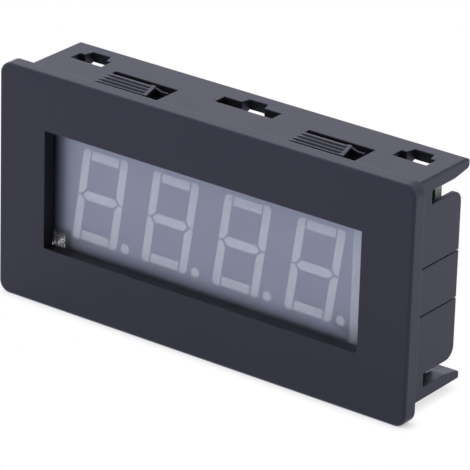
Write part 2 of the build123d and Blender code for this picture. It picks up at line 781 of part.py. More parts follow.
def trimmer_rotor():
    """Disc with a cross slot for a screwdriver, seated on the floor of the well."""
    back = BOARD_BACK + TRIMMER_HEIGHT
    disc = slab(Circle(ROTOR_DIAMETER / 2), back - ROTOR_HEIGHT, back)
    cross = Rectangle(ROTOR_SLOT_LENGTH, ROTOR_SLOT_WIDTH) + Rectangle(ROTOR_SLOT_WIDTH, ROTOR_SLOT_LENGTH)
    disc -= slab(cross, back - ROTOR_SLOT_DEPTH, back)
    return Pos(TRIMMER_X, 0, TRIMMER_Z) * disc


def trimmer_ends():
    """Three terminals against the upper and lower sides of the trimmer."""
    offset = (TRIMMER_SIZE + TRIMMER_END_LENGTH) / 2
    places = [(0, offset)] + [(x, -offset) for x in either_side(TRIMMER_END_SPREAD)]
    size = (TRIMMER_END_WIDTH, TRIMMER_END_LENGTH)
    return [
        pad(TRIMMER_X + x, TRIMMER_Z + z, *size, BOARD_BACK, TRIMMER_END_HEIGHT)
        for x, z in places
    ]


def header_pin_section(x):
    """Square section of one header pin."""
    return Pos(HEADER_X + x, HEADER_Z) * Rectangle(HEADER_PIN_SIZE, HEADER_PIN_SIZE)


def input_header():
    """Open shroud that stands on the feet of its pins, with two key slots in its upper wall."""
    back = HEADER_Y + HEADER_HEIGHT
    floor = HEADER_Y + HEADER_FLOOR
    shroud = pad(HEADER_X, HEADER_Z, HEADER_LENGTH, HEADER_WIDTH, HEADER_Y, HEADER_HEIGHT)
    inside = Rectangle(HEADER_LENGTH - 2 * HEADER_WALL, HEADER_WIDTH - 2 * HEADER_WALL)
    shroud -= slab(Pos(HEADER_X, HEADER_Z) * inside, floor, back)
    key = Rectangle(HEADER_KEY_WIDTH, 2 * HEADER_WALL)
    for x in either_side(HEADER_LENGTH - 2 * HEADER_WALL - 2 * HEADER_KEY_INSET):
        shroud -= slab(Pos(HEADER_X + x, HEADER_Z + HEADER_WIDTH / 2) * key, floor, back)
    pins = centred_row(HEADER_PIN_COUNT, HEADER_PITCH)
    return shroud - [slab(header_pin_section(x), HEADER_Y, floor) for x in pins]


def header_pin(x):
    """Pin of the header with a foot that runs out under the shroud to its solder pad."""
    pin = slab(header_pin_section(x), BOARD_BACK, BOARD_BACK + HEADER_PIN_HEIGHT)
    foot_end = HEADER_Z + HEADER_WIDTH / 2 + HEADER_FOOT_LENGTH
    across = [HEADER_X + x + edge for edge in either_side(HEADER_PIN_SIZE)]
    return pin + block(across, (BOARD_BACK, HEADER_Y), (HEADER_Z, foot_end))


def all_pieces():
    """Every piece of the meter by name."""
    segments = light_wells(segment_outlines())
    points = light_wells(point_outlines())
    controller_size = (CONTROLLER_WIDTH, CONTROLLER_HEIGHT)
    driver_size = (DRIVER_WIDTH, DRIVER_HEIGHT)
    resistors = row(RESISTOR_COUNT, RESISTOR_PITCH, RESISTOR_X)
    resistor_size = (RESISTOR_LENGTH, RESISTOR_WIDTH, RESISTOR_HEIGHT)
    capacitors = row(CAPACITOR_COUNT, CAPACITOR_PITCH, CAPACITOR_X)
    capacitor_size = (CAPACITOR_LENGTH, CAPACITOR_WIDTH, CAPACITOR_HEIGHT)
    return {
        "case": case(),
        "window_film": window_film(),
        "display_shell": display_layer(SHELL_Y, BOARD_Y, segments + points),
        "display_face": display_layer(DISPLAY_Y, SHELL_Y, segments + points),
        "display_segments": group(segments),
        "display_points": group(points),
        "display_pins": group(display_pins()),
        "circuit_board": circuit_board(),
        "solder_joints": group([solder_fillet(x, z) for x, z in pin_places()]),
        "controller_chip": chip_body(CONTROLLER_X, CONTROLLER_Z, CONTROLLER_LENGTH, *controller_size),
        "controller_leads": group(
            chip_leads(CONTROLLER_X, CONTROLLER_Z, *controller_size, CONTROLLER_LEAD_COUNT)
        ),
        "driver_chip": chip_body(DRIVER_X, DRIVER_Z, DRIVER_LENGTH, *driver_size),
        "driver_leads": group(chip_leads(DRIVER_X, DRIVER_Z, *driver_size, DRIVER_LEAD_COUNT)),
        "digit_transistors": group(digit_transistors()),
        "transistor_leads": group(transistor_leads()),
        "voltage_regulator": voltage_regulator(),
        "regulator_leads": group(regulator_leads()),
        "chip_resistors": group(two_ended_bodies(resistors, RESISTOR_Z, *resistor_size)),
        "resistor_ends": group(two_ended_caps(resistors, RESISTOR_Z, *resistor_size)),
        "chip_capacitors": group(two_ended_bodies(capacitors, CAPACITOR_Z, *capacitor_size)),
        "capacitor_ends": group(two_ended_caps(capacitors, CAPACITOR_Z, *capacitor_size)),
        "tantalum_capacitor": tantalum_capacitor(),
        "tantalum_ends": group(tantalum_ends()),
        "trimmer_body": trimmer_body(),
        "trimmer_ends": group(trimmer_ends()),
        "trimmer_rotor": trimmer_rotor(),
        "input_header": input_header(),
        "header_pins": group([header_pin(x) for x in centred_row(HEADER_PIN_COUNT, HEADER_PITCH)]),
    }


os.makedirs("parts", exist_ok=True)
for name, piece in all_pieces().items():
    export_step(piece, f"parts/{name}.step")
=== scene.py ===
"""Finish of the digital panel meter: film, packing, solder, tracks, materials and stage."""
import math

import bmesh
import bpy
import numpy as np
from bpy.props import FloatProperty, FloatVectorProperty, PointerProperty
from mathutils import Matrix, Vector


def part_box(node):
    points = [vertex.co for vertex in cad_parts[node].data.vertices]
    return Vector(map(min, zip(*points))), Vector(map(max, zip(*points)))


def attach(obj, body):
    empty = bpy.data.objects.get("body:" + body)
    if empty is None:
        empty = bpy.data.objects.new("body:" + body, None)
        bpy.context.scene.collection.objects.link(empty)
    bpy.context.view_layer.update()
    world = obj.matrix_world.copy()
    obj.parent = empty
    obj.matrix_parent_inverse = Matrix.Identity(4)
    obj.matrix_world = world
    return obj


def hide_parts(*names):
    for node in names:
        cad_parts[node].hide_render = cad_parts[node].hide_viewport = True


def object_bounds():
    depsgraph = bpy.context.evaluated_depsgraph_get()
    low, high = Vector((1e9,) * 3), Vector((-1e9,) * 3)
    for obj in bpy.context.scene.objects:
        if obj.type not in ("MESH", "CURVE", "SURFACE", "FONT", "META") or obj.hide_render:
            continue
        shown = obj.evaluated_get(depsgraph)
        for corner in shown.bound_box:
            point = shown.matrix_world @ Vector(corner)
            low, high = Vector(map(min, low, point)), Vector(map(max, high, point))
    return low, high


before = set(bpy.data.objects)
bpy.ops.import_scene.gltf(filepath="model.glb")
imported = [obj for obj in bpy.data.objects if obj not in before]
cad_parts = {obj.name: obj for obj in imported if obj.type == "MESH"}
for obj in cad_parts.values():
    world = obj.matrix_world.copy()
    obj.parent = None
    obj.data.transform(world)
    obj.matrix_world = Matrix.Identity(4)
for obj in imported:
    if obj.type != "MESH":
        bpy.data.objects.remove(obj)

bl_info = {
    "name": "Panel Meter Finish",
    "version": (1, 0, 0),
    "blender": (4, 5, 0),
    "location": "View3D > Sidebar > Panel Meter",
    "description": "Dresses a digital panel meter and sets up its studio",
    "category": "Object",
}

CAD_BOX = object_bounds()
MM = 0.001
MERGE_DISTANCE = 1e-7
PLACE_DIGITS = 7

# Planes of the frame that the new pieces sit on
FILM_LOW, FILM_HIGH = (np.array(corner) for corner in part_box("window_film"))
FILM_FRONT = FILM_LOW[1]
BOARD_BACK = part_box("circuit_board")[1][1]
FLOOR_LEVEL = CAD_BOX[0][2]

# Sheets with rounded edges: squareness of the outline, points round it and rows round half an edge
SHEET_POWER = 60.0
SHEET_SIDES = 96
SHEET_BEND = 5

# Film: a hair of air is left between it and the display
FILM_AIR = 0.03 * MM
FILM_EDGE = 0.12 * MM

# Packing strip between the right side of the display and the case
PACKING_WIDTH = 3.0 * MM
PACKING_DEPTH = 3.0 * MM
PACKING_GAP = 0.02 * MM
PACKING_EDGE = 0.1 * MM

# Painted light in the lower left corner of the film: grey flakes stand for the speckled light that comes
# through it from behind, and they crowd together towards its lower edge
PAINTED_GLOW_CORNER = np.array([-27.45, -8.93]) * MM
PAINTED_GLOW_SIZE = np.array([2.08, 2.1]) * MM
PAINTED_GLOW_CROWDING = np.array([1.0, 1.6])
PAINTED_GLOW_FLAKES = 190
PAINTED_GLOW_RADIUS = (0.06 * MM, 0.14 * MM)
PAINTED_GLOW_HEIGHT = 0.4
PAINTED_GLOW_SEED = 7

# Specks of dust on the film: place across and up from the middle of the window, and radius
SPECKS = np.array(
    [
        [-26.59, -0.61, 0.09],
        [-27.39, -3.65, 0.09],
        [-25.05, -5.10, 0.07],
        [4.61, -7.55, 0.08],
        [24.39, -0.07, 0.14],
        [25.00, -8.68, 0.13],
    ]
) * MM
SPECK_HEIGHT = 0.3
DOME_ROWS = 3
DOME_COLUMNS = 8

# Solder on the back of the board
PIN_TIP_MARGIN = 0.04 * MM
FILLET_POWER = 2.4
FILLET_ROWS = 10
FILLET_COLUMNS = 24
PAD_MARGIN = 0.22 * MM
PAD_SINK = 0.03 * MM
PAD_PULL_IN = 0.14
PAD_ROWS = 9
PAD_COLUMNS = 16
FOOT_LENGTH = 0.95 * MM
LEADS = ("controller_leads", "driver_leads", "transistor_leads", "regulator_leads")
CAPS = ("resistor_ends", "capacitor_ends", "tantalum_ends")

# Tracks: how far the first one runs from its lead before it turns, and how much further each next one
CONTROLLER_RUN = 1.0 * MM
CONTROLLER_STEP = 0.75 * MM
DRIVER_RUN = 0.75 * MM
DRIVER_STEP = 0.55 * MM
HEADER_RUNS = np.array([1.4, 2.2]) * MM

# Supply track: its rise from the foot of the header and its distance from the header's end
SUPPLY_RISE = 0.9 * MM
SUPPLY_CLEARANCE = 1.4 * MM

# Section and corners of all tracks
TRACK_SHOULDER = 0.36
TRACK_CORNER = 0.5 * MM
TRACK_SINK = 0.02 * MM

# Printed lines beside the larger parts
MARKED_PARTS = (
    "controller_chip", "driver_chip", "tantalum_ends", "voltage_regulator", "trimmer_body", "input_header",
)
PRINT_MARGIN = 0.4 * MM
PRINT_WIDTH = 0.16 * MM
PRINT_HEIGHT = 0.02 * MM

# Finishes: weave and copper under the board's lacquer, band of the tantalum block, relief of fine grain
WEAVE = {"Scale": 620.0, "Distortion": 0.4}
WEAVE_RELIEF = 0.004 * MM
COPPER_LIGHTENING = 1.7
BAND_WIDTH = 1.1 * MM
FINE_RELIEF = 0.004 * MM

# Studio
WHITE = (1.0, 1.0, 1.0, 1.0)
PAPER = (0.73, 0.74, 0.87, 1.0)
FLOOR_HALF = 3.0
LAMP_SIZE = 1.4
KEY_PLACE = (-1.0, -1.35, 1.4)
FILL_PLACE = (-0.8, 1.4, 1.5)
SENSOR_WIDTH = 36.0
NEAR_CLIP = 0.01
FAR_CLIP = 10.0

# Samples for the rounded look of edges and for the shade at the foot
EDGE_SAMPLES = 8

# A mix node's places for its two inputs and its result
MIX_SOCKETS = {"FLOAT": (2, 3, 0), "RGBA": (6, 7, 2)}

# Limits of the colours and shares among the settings
COLOUR_LIMITS = {"size": 4, "min": 0.0, "max": 1.0}
SHARE_LIMITS = {"min": 0.0, "max": 1.0}


class CaseLook(bpy.types.PropertyGroup):
    """Finish of the moulded case."""

    colour: FloatVectorProperty(
        name="Colour",
        description="Colour of the moulded case",
        subtype="COLOR",
        default=(0.006, 0.006, 0.007, 1.0),
        **COLOUR_LIMITS,
    )
    sheen: FloatVectorProperty(
        name="Gloss Tint",
        description="Tint of the light that the case reflects",
        subtype="COLOR",
        default=(0.65, 0.65, 0.84, 1.0),
        **COLOUR_LIMITS,
    )
    roughness: FloatProperty(
        name="Roughness",
        description="Roughness of the moulded face",
        subtype="FACTOR",
        default=0.36,
        **SHARE_LIMITS,
    )
    grain: FloatProperty(
        name="Grain",
        description="Size of the spark-eroded grain of the mould",
        unit="LENGTH",
        min=0.00002,
        default=0.00012,
    )
    edge: FloatProperty(
        name="Edge",
        description="Radius to which the edges of the moulding look rounded",
        unit="LENGTH",
        min=0.0,
        default=0.00025,
    )


class WindowLook(bpy.types.PropertyGroup):
    """Finish of the film and of the display behind it."""

    film_colour: FloatVectorProperty(
        name="Film",
        description="Colour of the haze that the film reflects",
        subtype="COLOR",
        default=(0.487, 0.522, 0.612, 1.0),
        **COLOUR_LIMITS,
    )
    # Painted shade: a dimmer haze that only mirrors see, so the sill under the film looks dark
    painted_shade_film_reflection: FloatVectorProperty(
        name="Mirrored Film",
        description="Dimmer colour of the haze as the walls of the window mirror it",
        subtype="COLOR",
        default=(0.215, 0.23, 0.265, 1.0),
        **COLOUR_LIMITS,
    )
    front_cover: FloatProperty(
        name="Front Cover",
        description="Share of the light that the front face of the film throws back",
        subtype="FACTOR",
        default=0.03,
        **SHARE_LIMITS,
    )
    rear_cover: FloatProperty(
        name="Rear Cover",
        description="Share of the light that the satin rear face of the film throws back",
        subtype="FACTOR",
        default=0.55,
        **SHARE_LIMITS,
    )
    film_roughness: FloatProperty(
        name="Film Roughness",
        description="Roughness of the satin film",
        subtype="FACTOR",
        default=0.45,
        **SHARE_LIMITS,
    )
    face_colour: FloatVectorProperty(
        name="Face",
        description="Colour of the printed face of the display",
        subtype="COLOR",
        default=(0.11, 0.11, 0.12, 1.0),
        **COLOUR_LIMITS,
    )
    segment_colour: FloatVectorProperty(
        name="Segments",
        description="Colour of the unlit resin bars and points",
        subtype="COLOR",
        default=(0.84, 0.84, 0.78, 1.0),
        **COLOUR_LIMITS,
    )
    body_colour: FloatVectorProperty(
        name="Display Body",
        description="Colour of the moulded block of the display",
        subtype="COLOR",
        default=(0.78, 0.79, 0.78, 1.0),
        **COLOUR_LIMITS,
    )
    packing_colour: FloatVectorProperty(
        name="Packing",
        description="Colour of the foam strip beside the display",
        subtype="COLOR",
        default=(0.62, 0.62, 0.59, 1.0),
        **COLOUR_LIMITS,
    )


class BoardLook(bpy.types.PropertyGroup):
    """Finish and small relief of the circuit board."""

    mask_colour: FloatVectorProperty(
        name="Solder Mask",
        description="Colour of the lacquer over the board",
        subtype="COLOR",
        default=(0.02, 0.15, 0.06, 1.0),
        **COLOUR_LIMITS,
    )
    fibre_colour: FloatVectorProperty(
        name="Cut Edge",
        description="Colour of the sawn glass fibre at the edge of the board",
        subtype="COLOR",
        default=(0.78, 0.88, 0.84, 1.0),
        **COLOUR_LIMITS,
    )
    track_width: FloatProperty(
        name="Track Width",
        description="Width of the signal tracks",
        unit="LENGTH",
        min=0.0001,
        default=0.00028,
    )
    power_width: FloatProperty(
        name="Power Track Width",
        description="Width of the supply track",
        unit="LENGTH",
        min=0.0001,
        default=0.0009,
    )
    track_height: FloatProperty(
        name="Track Height",
        description="Height of the lacquered tracks over the board",
        unit="LENGTH",
        min=0.00001,
        default=0.00004,
    )
    pad_height: FloatProperty(
        name="Solder Height",
        description="Height of the solder on a flat pad",
        unit="LENGTH",
        min=0.00001,
        default=0.00016,
    )


class StageLook(bpy.types.PropertyGroup):
    """Camera, floor and light."""

    azimuth: FloatProperty(
        name="Azimuth",
        description="Turn of the camera to the right of the front",
        subtype="ANGLE",
        default=math.radians(36.04),
    )
    elevation: FloatProperty(
        name="Elevation",
        description="Height of the camera over the horizon",
        subtype="ANGLE",
        default=math.radians(23.66),
    )
    roll: FloatProperty(
        name="Roll",
        description="Lean of the camera about its line of sight",
        subtype="ANGLE",
        default=math.radians(-1.691),
    )
    distance: FloatProperty(
        name="Distance",
        description="Distance of the camera from the middle of the cut-out, along its line of sight",
        unit="LENGTH",
        default=0.57974,
    )
    aside: FloatProperty(
        name="Aside",
        description="How far the line of sight passes to the right of that middle",
        unit="LENGTH",
        default=0.00374,
    )
    above: FloatProperty(
        name="Above",
        description="How far the line of sight passes above that middle",
        unit="LENGTH",
        default=0.000136,
    )
    lens: FloatProperty(
        name="Lens",
        description="Focal length on a sensor 36 mm wide, in millimetres",
        default=316.4,
    )
    shadow: FloatProperty(
        name="Shadow",
        description="Share of the floor that darkens in the shadow, as mirrored in the meter",
        subtype="FACTOR",
        default=0.5,
        **SHARE_LIMITS,
    )
    mirrored_colour: FloatVectorProperty(
        name="Mirrored White",
        description="Cool white of floor and sky as they are mirrored in the meter",
        subtype="COLOR",
        size=4,
        min=0.0,
        max=1.2,
        default=(1.0, 1.0, 1.18, 1.0),
    )
    contact: FloatProperty(
        name="Contact",
        description="Reach of the seen shadow around what stands on the floor",
        unit="LENGTH",
        min=0.0,
        default=0.0016,
    )
    contact_shade: FloatProperty(
        name="Contact Shade",
        description="Depth of the seen shadow",
        subtype="FACTOR",
        default=0.65,
        **SHARE_LIMITS,
    )
    daylight: FloatProperty(
        name="Daylight",
        description="Strength of the even light all round",
        min=0.0,
        default=0.4,
    )
    key_power: FloatProperty(
        name="Key Power",
        description="Power of the large soft lamp at the left front",
        unit="POWER",
        min=0.0,
        default=33.0,
    )
    fill_power: FloatProperty(
        name="Fill Power",
        description="Power of the large soft lamp at the left rear",
        unit="POWER",
        min=0.0,
        default=24.0,
    )


# Surfaces


def surface_piece(name, grids):
    """New object from stacked grids of points, shaped (copies, rows, columns, 3).

    Neighbours in a grid are joined into quads, and the last column to the first. Points that meet at
    poles and seams are merged, and the faces of each closed shape are turned outwards.
    """
    copies, rows, columns = grids.shape[:3]
    index = np.arange(copies * rows * columns).reshape(copies, rows, columns)
    index = np.concatenate([index, index[:, :, :1]], axis=2)
    corners = [index[:, :-1, :-1], index[:, :-1, 1:], index[:, 1:, 1:], index[:, 1:, :-1]]
    quads = np.stack(corners, axis=-1).reshape(-1, 4)
    mesh = bpy.data.meshes.new(name)
    mesh.from_pydata(grids.reshape(-1, 3).tolist(), [], quads.tolist())
    merged = bmesh.new()
    merged.from_mesh(mesh)
    bmesh.ops.remove_doubles(merged, verts=merged.verts, dist=MERGE_DISTANCE)
    bmesh.ops.recalc_face_normals(merged, faces=merged.faces)
    merged.to_mesh(mesh)
    merged.free()
    mesh.polygons.foreach_set("use_smooth", np.ones(len(mesh.polygons), dtype=bool))
    mesh.update()
    piece = bpy.data.objects.new(name, mesh)
    bpy.context.scene.collection.objects.link(piece)
    return piece


def solid_boxes(node):
    """Lowest and highest corner of each separate solid of a CAD node, as two arrays.

    Corners at one place share a label. Each triangle spreads the lowest label of its corners until no
    label changes, so that every solid ends with one label of its own.
    """
    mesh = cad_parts[node].data
    corners = np.empty(len(mesh.vertices) * 3)
    mesh.vertices.foreach_get("co", corners)
    corners = corners.reshape(-1, 3)
    mesh.calc_loop_triangles()
    sides = np.empty(len(mesh.loop_triangles) * 3, dtype=np.int32)
    mesh.loop_triangles.foreach_get("vertices", sides)
    _, place = np.unique(np.round(corners, PLACE_DIGITS), axis=0, return_inverse=True)
    place = place.ravel()
    sides = place[sides].reshape(-1, 3)
    labels = np.arange(place.max() + 1)
    settled = False
    while not settled:
        spread = labels.copy()
        np.minimum.at(spread, sides, labels[sides].min(axis=1)[:, None])
        settled = np.array_equal(spread, labels)
        labels = spread
    owner = labels[place]
    solids = np.unique(owner)
    low = np.array([corners[owner == solid].min(axis=0) for solid in solids])
    high = np.array([corners[owner == solid].max(axis=0) for solid in solids])
    return low, high


def rounded_sheet(low, high, edge):
    """Grid of a flat sheet with rounded edges, between two corners.

    The outline is a superellipse, x = a |cos t|^(2/n) and z = b |sin t|^(2/n) with their signs. The rows
    run from the middle of the front, round a half-circle edge section, to the middle of the back.
    """
    turn = np.linspace(0, 2 * math.pi, SHEET_SIDES, endpoint=False)
    power = 2 / SHEET_POWER
    across = np.sign(np.cos(turn)) * np.abs(np.cos(turn)) ** power
    upward = np.sign(np.sin(turn)) * np.abs(np.sin(turn)) ** power
    bend = np.linspace(0, math.pi / 2, SHEET_BEND)
    inset = edge * (1 - np.sin(bend))
    rise = edge * (1 - np.cos(bend))
    half = (high - low) / 2
    middle = (high + low) / 2
    insets = np.concatenate([inset, inset[::-1]])
    depths = np.concatenate([low[1] + rise, high[1] - rise[::-1]])
    x = np.vstack([0 * turn, np.outer(half[0] - insets, across), 0 * turn]) + middle[0]
    z = np.vstack([0 * turn, np.outer(half[2] - insets, upward), 0 * turn]) + middle[2]
    y = np.concatenate([[low[1]], depths, [high[1]]])
    return np.stack([x, np.broadcast_to(y[:, None], x.shape), z], axis=-1)[None]


def domes(places, radii, heights, base):
    """Grids of low domes that stand forward of a plane: r = R cos s and height = H sin s.

    The rows start at the middle of the foot and end at the top.
    """
    lift = np.concatenate([[0.0], np.linspace(0, math.pi / 2, DOME_ROWS)])
    reach = np.cos(lift)
    reach[0] = 0
    turn = np.linspace(0, 2 * math.pi, DOME_COLUMNS, endpoint=False)
    ring = reach[None, :, None] * radii[:, None, None]
    x = places[:, 0, None, None] + ring * np.cos(turn)
    z = places[:, 1, None, None] + ring * np.sin(turn)
    y = base - heights[:, None, None] * np.sin(lift)[None, :, None] + 0 * x
    return np.stack([x, y, z], axis=-1)


def pin_fillets(places, foot, tip, height):
    """Grids of concave solder cones round pins: r = tip + (foot - tip) (1 - t)^p at a height of t H."""
    t = np.linspace(0, 1, FILLET_ROWS)
    radius = tip + (foot - tip) * (1 - t) ** FILLET_POWER
    radius = np.concatenate([[0.0], radius, [0.0]])
    level = BOARD_BACK + height * np.concatenate([[0.0], t, [1.0]])
    turn = np.linspace(0, 2 * math.pi, FILLET_COLUMNS, endpoint=False)
    x = places[:, 0, None, None] + radius[None, :, None] * np.cos(turn)
    z = places[:, 1, None, None] + radius[None, :, None] * np.sin(turn)
    y = np.broadcast_to(level[None, :, None], x.shape)
    return np.stack([x, y, z], axis=-1)


def solder_mounds(low, high, height):
    """Grids of flat solder mounds over rectangles of the board.

    With u and v from -1 to 1 across the pad, the height is H (1 - u^4)(1 - v^4) above the board and a
    little below it on the hidden side, and the corners are drawn in by the fourth power of the other side.
    """
    theta = np.linspace(0, 2 * math.pi, PAD_COLUMNS, endpoint=False)
    phi = np.linspace(0, math.pi, PAD_ROWS)
    u = -np.cos(theta)[None, :]
    v = -np.cos(phi)[:, None]
    swell = (1 - u ** 4) * (1 - v ** 4) * np.where(np.sin(theta) >= 0, height, -PAD_SINK)[None, :]
    half = (high - low) / 2
    middle = (high + low) / 2
    x = middle[:, 0, None, None] + half[:, 0, None, None] * (u * (1 - PAD_PULL_IN * v ** 4))[None]
    z = middle[:, 1, None, None] + half[:, 1, None, None] * (v * (1 - PAD_PULL_IN * u ** 4))[None]
    y = np.broadcast_to(BOARD_BACK + swell[None], x.shape)
    return np.stack([x, y, z], axis=-1)


def strips(paths, widths, height):
    """Grids of low flat-topped strips on the board, a section of six points carried along each path.

    At each bend the section is turned to the mean of its two sides and widened by 1 / cos of half the bend.
    The first and last rows close on the path itself.
    """
    step = np.diff(paths, axis=1)
    step = step / np.linalg.norm(step, axis=2, keepdims=True)
    side = np.stack([-step[..., 1], step[..., 0]], axis=-1)
    before = np.concatenate([side[:, :1], side], axis=1)
    after = np.concatenate([side, side[:, -1:]], axis=1)
    mitre = (before + after) / (1 + np.sum(before * after, axis=2, keepdims=True))
    offset = np.array([-0.5, -TRACK_SHOULDER, TRACK_SHOULDER, 0.5, 0.5, -0.5])
    level = np.array([0, height, height, 0, -TRACK_SINK, -TRACK_SINK])
    spread = offset[None, None, :, None] * widths[:, None, None, None] * mitre[:, :, None, :]
    centre = paths[:, :, None, :] + 0 * spread
    flat = np.concatenate([centre[:, :1], centre + spread, centre[:, -1:]], axis=1)
    depth = np.broadcast_to(BOARD_BACK + level, flat.shape[:3]).copy()
    depth[:, [0, -1]] = BOARD_BACK
    return np.stack([flat[..., 0], depth, flat[..., 1]], axis=-1)


def dog_legs(start, end, level):
    """Paths that leave a start up or down the board, run along a level and go up or down to an end.

    Each of the two corners is cut at 45 degrees.
    """
    cut = TRACK_CORNER
    along = np.sign(end[:, 0] - start[:, 0])
    first = np.sign(level - start[:, 1])
    last = np.sign(end[:, 1] - level)
    x = [start[:, 0], start[:, 0], start[:, 0] + cut * along, end[:, 0] - cut * along, end[:, 0], end[:, 0]]
    z = [start[:, 1], level - cut * first, level, level, level + cut * last, end[:, 1]]
    return np.stack([np.stack(x, axis=1), np.stack(z, axis=1)], axis=-1)


# Shader groups and materials


def add_node(tree, kind, settings=None, values=None):
    """New node of a tree, with its settings and the values of its inputs."""
    node = tree.nodes.new(kind)
    for key, value in (settings or {}).items():
        setattr(node, key, value)
    for key, value in (values or {}).items():
        node.inputs[key].default_value = value
    return node


def feed(tree, value, socket):
    """Link an output to a socket, or set the socket to a plain value."""
    if isinstance(value, bpy.types.NodeSocket):
        tree.links.new(value, socket)
    else:
        socket.default_value = value


def math_node(tree, operation, *values):
    """Math node on numbers or outputs."""
    node = add_node(tree, "ShaderNodeMath", {"operation": operation})
    for value, socket in zip(values, node.inputs):
        feed(tree, value, socket)
    return node.outputs[0]


def blend(tree, mask, first, second, kind="RGBA"):
    """Mix of two colours, numbers or outputs by a mask."""
    mix = add_node(tree, "ShaderNodeMix", {"data_type": kind})
    tree.links.new(mask, mix.inputs["Factor"])
    low, high, result = MIX_SOCKETS[kind]
    feed(tree, first, mix.inputs[low])
    feed(tree, second, mix.inputs[high])
    return mix.outputs[result]


def noise(tree, coordinates, scale, detail):
    """Noise texture on given coordinates, at the scale that an output gives."""
    node = add_node(tree, "ShaderNodeTexNoise", values={"Detail": detail})
    tree.links.new(coordinates, node.inputs["Vector"])
    tree.links.new(scale, node.inputs["Scale"])
    return node.outputs["Fac"]


def object_place(tree):
    """Place of a shaded point on its object, as an output."""
    return add_node(tree, "ShaderNodeTexCoord").outputs["Object"]


def axes_of(tree, vector):
    """X, Y and Z of a vector, as outputs."""
    parts = add_node(tree, "ShaderNodeSeparateXYZ")
    tree.links.new(vector, parts.inputs[0])
    return parts.outputs


def new_group(name, inputs, outputs):
    """Empty shader group with named sockets, and its input and output nodes."""
    tree = bpy.data.node_groups.new(name, "ShaderNodeTree")
    for socket, kind in inputs:
        tree.interface.new_socket(socket, in_out="INPUT", socket_type=kind)
    for socket, kind in outputs:
        tree.interface.new_socket(socket, in_out="OUTPUT", socket_type=kind)
    return tree, tree.nodes.new("NodeGroupInput"), tree.nodes.new("NodeGroupOutput")


def grain_group():
    """Moulded grain: a broad noise varies colour and roughness, a fine one roughness and height."""
    tree, given, result = new_group(
        "moulded_grain",
        [
            ("Colour", "NodeSocketColor"),
            ("Shade", "NodeSocketFloat"),
            ("Roughness", "NodeSocketFloat"),
            ("Spread", "NodeSocketFloat"),
            ("Fine Scale", "NodeSocketFloat"),
            ("Broad Scale", "NodeSocketFloat"),
        ],
        [
            ("Colour", "NodeSocketColor"),
            ("Roughness", "NodeSocketFloat"),
            ("Height", "NodeSocketFloat"),
        ],
    )
    place = object_place(tree)
    fine = noise(tree, place, given.outputs["Fine Scale"], 2.0)
    broad = noise(tree, place, given.outputs["Broad Scale"], 4.0)
    swing = math_node(tree, "SUBTRACT", broad, 0.5)
    factor = math_node(tree, "MULTIPLY_ADD", swing, given.outputs["Shade"], 1.0)
    tinted = add_node(tree, "ShaderNodeVectorMath", {"operation": "SCALE"})
    tree.links.new(given.outputs["Colour"], tinted.inputs[0])
    tree.links.new(factor, tinted.inputs["Scale"])
    tree.links.new(tinted.outputs[0], result.inputs["Colour"])
    jitter = math_node(tree, "MULTIPLY", math_node(tree, "SUBTRACT", fine, 0.5), given.outputs["Spread"])
    smear = math_node(tree, "MULTIPLY", swing, given.outputs["Spread"])
    rough = math_node(tree, "ADD", math_node(tree, "ADD", jitter, smear), given.outputs["Roughness"])
    tree.links.new(rough, result.inputs["Roughness"])
    tree.links.new(fine, result.inputs["Height"])
    return tree


def facing_group():
    """Facing masks: one where a face looks sideways, up or down, one where it looks to the rear."""
    tree, _, result = new_group(
        "facing", [], [("Sides", "NodeSocketFloat"), ("Rear", "NodeSocketFloat")]
    )
    normal = add_node(tree, "ShaderNodeNewGeometry").outputs["True Normal"]
    depth = axes_of(tree, normal)["Y"]
    sides = math_node(tree, "LESS_THAN", math_node(tree, "ABSOLUTE", depth), 0.5)
    tree.links.new(sides, result.inputs["Sides"])
    tree.links.new(math_node(tree, "GREATER_THAN", depth, 0.5), result.inputs["Rear"])
    return tree


def group(tree, name, maker, values=None):
    """Place a shared group in a material, made on its first use."""
    node = tree.nodes.new("ShaderNodeGroup")
    node.node_tree = bpy.data.node_groups.get(name) or maker()
    for socket, value in (values or {}).items():
        node.inputs[socket].default_value = value
    return node


def new_material(name, values):
    """Material with a Principled shader whose plain sockets are set, and its tree and shader."""
    material = bpy.data.materials.new(name)
    material.use_nodes = True
    tree = material.node_tree
    shader = tree.nodes["Principled BSDF"]
    for socket, value in values.items():
        shader.inputs[socket].default_value = value
    return material, tree, shader


def add_bump(tree, shader, height, distance):
    """Bump of a real height on the shader's normal."""
    bump = add_node(tree, "ShaderNodeBump", values={"Strength": 1.0, "Distance": distance})
    tree.links.new(height, bump.inputs["Height"])
    tree.links.new(bump.outputs["Normal"], shader.inputs["Normal"])


def grain(tree, colour, roughness, size, shade, spread, broad):
    """The shared grain in a material: its outputs for colour, roughness and height."""
    values = {
        "Colour": colour,
        "Shade": shade,
        "Roughness": roughness,
        "Spread": spread,
        "Fine Scale": 1 / size,
        "Broad Scale": broad,
    }
    return group(tree, "moulded_grain", grain_group, values).outputs


def moulded_material(
    name, colour, roughness, size, shade=0.3, spread=0.12, relief=0.006 * MM, broad=90.0, **plain
):
    """Moulded or cast surface: the shared grain drives colour, roughness and a shallow relief."""
    sockets = {key.replace("_", " "): value for key, value in plain.items()}
    material, tree, shader = new_material(name, sockets)
    skin = grain(tree, colour, roughness, size, shade, spread, broad)
    tree.links.new(skin["Colour"], shader.inputs["Base Color"])
    tree.links.new(skin["Roughness"], shader.inputs["Roughness"])
    add_bump(tree, shader, skin["Height"], relief)
    return material


def metal_material(name, colour, roughness, size, relief):
    """Plated or melted metal: the shared grain tarnishes it unevenly."""
    return moulded_material(
        name, colour, roughness, size, shade=0.35, spread=0.25, relief=relief, broad=900.0, Metallic=1.0
    )


def solder_material():
    """Bright solder, shared by all joints."""
    return bpy.data.materials.get("bright_solder") or metal_material(
        "bright_solder", (0.74, 0.74, 0.72, 1.0), roughness=0.26, size=0.25 * MM, relief=0.012 * MM
    )


